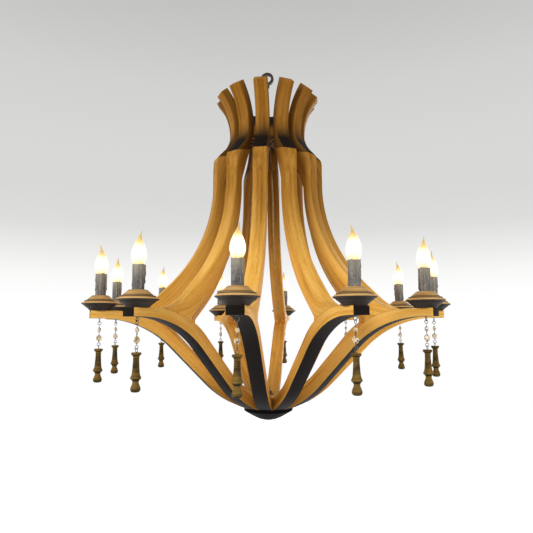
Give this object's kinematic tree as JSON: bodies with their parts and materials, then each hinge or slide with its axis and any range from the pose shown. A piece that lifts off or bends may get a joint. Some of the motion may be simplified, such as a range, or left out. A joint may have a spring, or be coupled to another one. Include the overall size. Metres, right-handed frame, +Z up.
{
  "type": "candle chandelier",
  "caption": "Wooden basket chandelier: curved ribs rise from a turned hub to a flared crown, with candle lights on saucers and swinging crystal strings below.",
  "frame": {"origin": "centre of the hanging eye's bore", "axes": "+Z up along the chandelier's axis, +Y along the eye's bore, first arm towards -Y"},
  "size_m": [1.077, 1.077, 1.0937],
  "materials": {
    "wood": "satin waxed golden brown",
    "dark_wood": "dark stained, satin",
    "drop_wood": "olive brown, waxed",
    "sleeve": "grey brown drip candle sleeve",
    "bulb": "clear warm glass",
    "socket": "dull",
    "crystal": "smoked faceted glass",
    "iron": "black, satin",
    "wire": "gold flat cable"
  },
  "bodies": {
    "frame": {"arm_01": "wood", "stave_01": "wood", "arm_02": "wood", "stave_02": "wood", "arm_03": "wood", "stave_03": "wood", "arm_04": "wood", "stave_04": "wood", "arm_05": "wood", "stave_05": "wood", "arm_06": "wood", "stave_06": "wood", "arm_07": "wood", "stave_07": "wood", "arm_08": "wood", "stave_08": "wood", "arm_09": "wood", "stave_09": "wood", "arm_10": "wood", "stave_10": "wood", "arm_11": "wood", "stave_11": "wood", "arm_12": "wood", "stave_12": "wood", "crown_slats": "wood", "saucers": "wood", "lamp_sockets": "socket", "candle_sleeves": "sleeve", "bulbs": "bulb", "screw_eyes": "iron", "lamp_wires": "wire", "screws_bolt_and_nuts": "iron", "neck_spider": "iron", "hanging_rod": "iron", "hub_core": "wood", "hub_dish": "dark_wood"},
    "string_01": {"crystal_string_01": "crystal"},
    "drop_01": {"turned_drop_01": "drop_wood"},
    "string_02": {"crystal_string_02": "crystal"},
    "drop_02": {"turned_drop_02": "drop_wood"},
    "string_03": {"crystal_string_03": "crystal"},
    "drop_03": {"turned_drop_03": "drop_wood"},
    "string_04": {"crystal_string_04": "crystal"},
    "drop_04": {"turned_drop_04": "drop_wood"},
    "string_05": {"crystal_string_05": "crystal"},
    "drop_05": {"turned_drop_05": "drop_wood"},
    "string_06": {"crystal_string_06": "crystal"},
    "drop_06": {"turned_drop_06": "drop_wood"},
    "string_07": {"crystal_string_07": "crystal"},
    "drop_07": {"turned_drop_07": "drop_wood"},
    "string_08": {"crystal_string_08": "crystal"},
    "drop_08": {"turned_drop_08": "drop_wood"},
    "string_09": {"crystal_string_09": "crystal"},
    "drop_09": {"turned_drop_09": "drop_wood"},
    "string_10": {"crystal_string_10": "crystal"},
    "drop_10": {"turned_drop_10": "drop_wood"},
    "string_11": {"crystal_string_11": "crystal"},
    "drop_11": {"turned_drop_11": "drop_wood"},
    "string_12": {"crystal_string_12": "crystal"},
    "drop_12": {"turned_drop_12": "drop_wood"}
  },
  "joints": [
    {"name": "string_swing_01", "type": "hinge", "parent": "frame", "child": "string_01", "pos_m": [0, -0.49, -0.7854], "axis": [1, 0, 0], "range_deg": [-30, 30]},
    {"name": "drop_swing_01", "type": "hinge", "parent": "string_01", "child": "drop_01", "pos_m": [0, -0.49, -0.8477], "axis": [0, -1, 0], "range_deg": [-30, 30]},
    {"name": "string_swing_02", "type": "hinge", "parent": "frame", "child": "string_02", "pos_m": [0.245, -0.42435, -0.7854], "axis": [0.866, 0.5, 0], "range_deg": [-30, 30]},
    {"name": "drop_swing_02", "type": "hinge", "parent": "string_02", "child": "drop_02", "pos_m": [0.245, -0.42435, -0.8477], "axis": [0.5, -0.866, 0], "range_deg": [-30, 30]},
    {"name": "string_swing_03", "type": "hinge", "parent": "frame", "child": "string_03", "pos_m": [0.42435, -0.245, -0.7854], "axis": [0.5, 0.866, 0], "range_deg": [-30, 30]},
    {"name": "drop_swing_03", "type": "hinge", "parent": "string_03", "child": "drop_03", "pos_m": [0.42435, -0.245, -0.8477], "axis": [0.866, -0.5, 0], "range_deg": [-30, 30]},
    {"name": "string_swing_04", "type": "hinge", "parent": "frame", "child": "string_04", "pos_m": [0.49, 0, -0.7854], "axis": [0, 1, 0], "range_deg": [-30, 30]},
    {"name": "drop_swing_04", "type": "hinge", "parent": "string_04", "child": "drop_04", "pos_m": [0.49, 0, -0.8477], "axis": [1, 0, 0], "range_deg": [-30, 30]},
    {"name": "string_swing_05", "type": "hinge", "parent": "frame", "child": "string_05", "pos_m": [0.42435, 0.245, -0.7854], "axis": [-0.5, 0.866, 0], "range_deg": [-30, 30]},
    {"name": "drop_swing_05", "type": "hinge", "parent": "string_05", "child": "drop_05", "pos_m": [0.42435, 0.245, -0.8477], "axis": [0.866, 0.5, 0], "range_deg": [-30, 30]},
    {"name": "string_swing_06", "type": "hinge", "parent": "frame", "child": "string_06", "pos_m": [0.245, 0.42435, -0.7854], "axis": [-0.866, 0.5, 0], "range_deg": [-30, 30]},
    {"name": "drop_swing_06", "type": "hinge", "parent": "string_06", "child": "drop_06", "pos_m": [0.245, 0.42435, -0.8477], "axis": [0.5, 0.866, 0], "range_deg": [-30, 30]},
    {"name": "string_swing_07", "type": "hinge", "parent": "frame", "child": "string_07", "pos_m": [0, 0.49, -0.7854], "axis": [-1, 0, 0], "range_deg": [-30, 30]},
    {"name": "drop_swing_07", "type": "hinge", "parent": "string_07", "child": "drop_07", "pos_m": [0, 0.49, -0.8477], "axis": [0, 1, 0], "range_deg": [-30, 30]},
    {"name": "string_swing_08", "type": "hinge", "parent": "frame", "child": "string_08", "pos_m": [-0.245, 0.42435, -0.7854], "axis": [-0.866, -0.5, 0], "range_deg": [-30, 30]},
    {"name": "drop_swing_08", "type": "hinge", "parent": "string_08", "child": "drop_08", "pos_m": [-0.245, 0.42435, -0.8477], "axis": [-0.5, 0.866, 0], "range_deg": [-30, 30]},
    {"name": "string_swing_09", "type": "hinge", "parent": "frame", "child": "string_09", "pos_m": [-0.42435, 0.245, -0.7854], "axis": [-0.5, -0.866, 0], "range_deg": [-30, 30]},
    {"name": "drop_swing_09", "type": "hinge", "parent": "string_09", "child": "drop_09", "pos_m": [-0.42435, 0.245, -0.8477], "axis": [-0.866, 0.5, 0], "range_deg": [-30, 30]},
    {"name": "string_swing_10", "type": "hinge", "parent": "frame", "child": "string_10", "pos_m": [-0.49, 0, -0.7854], "axis": [0, -1, 0], "range_deg": [-30, 30]},
    {"name": "drop_swing_10", "type": "hinge", "parent": "string_10", "child": "drop_10", "pos_m": [-0.49, 0, -0.8477], "axis": [-1, 0, 0], "range_deg": [-30, 30]},
    {"name": "string_swing_11", "type": "hinge", "parent": "frame", "child": "string_11", "pos_m": [-0.42435, -0.245, -0.7854], "axis": [0.5, -0.866, 0], "range_deg": [-30, 30]},
    {"name": "drop_swing_11", "type": "hinge", "parent": "string_11", "child": "drop_11", "pos_m": [-0.42435, -0.245, -0.8477], "axis": [-0.866, -0.5, 0], "range_deg": [-30, 30]},
    {"name": "string_swing_12", "type": "hinge", "parent": "frame", "child": "string_12", "pos_m": [-0.245, -0.42435, -0.7854], "axis": [0.866, -0.5, 0], "range_deg": [-30, 30]},
    {"name": "drop_swing_12", "type": "hinge", "parent": "string_12", "child": "drop_12", "pos_m": [-0.245, -0.42435, -0.8477], "axis": [-0.5, -0.866, 0], "range_deg": [-30, 30]}
  ]
}
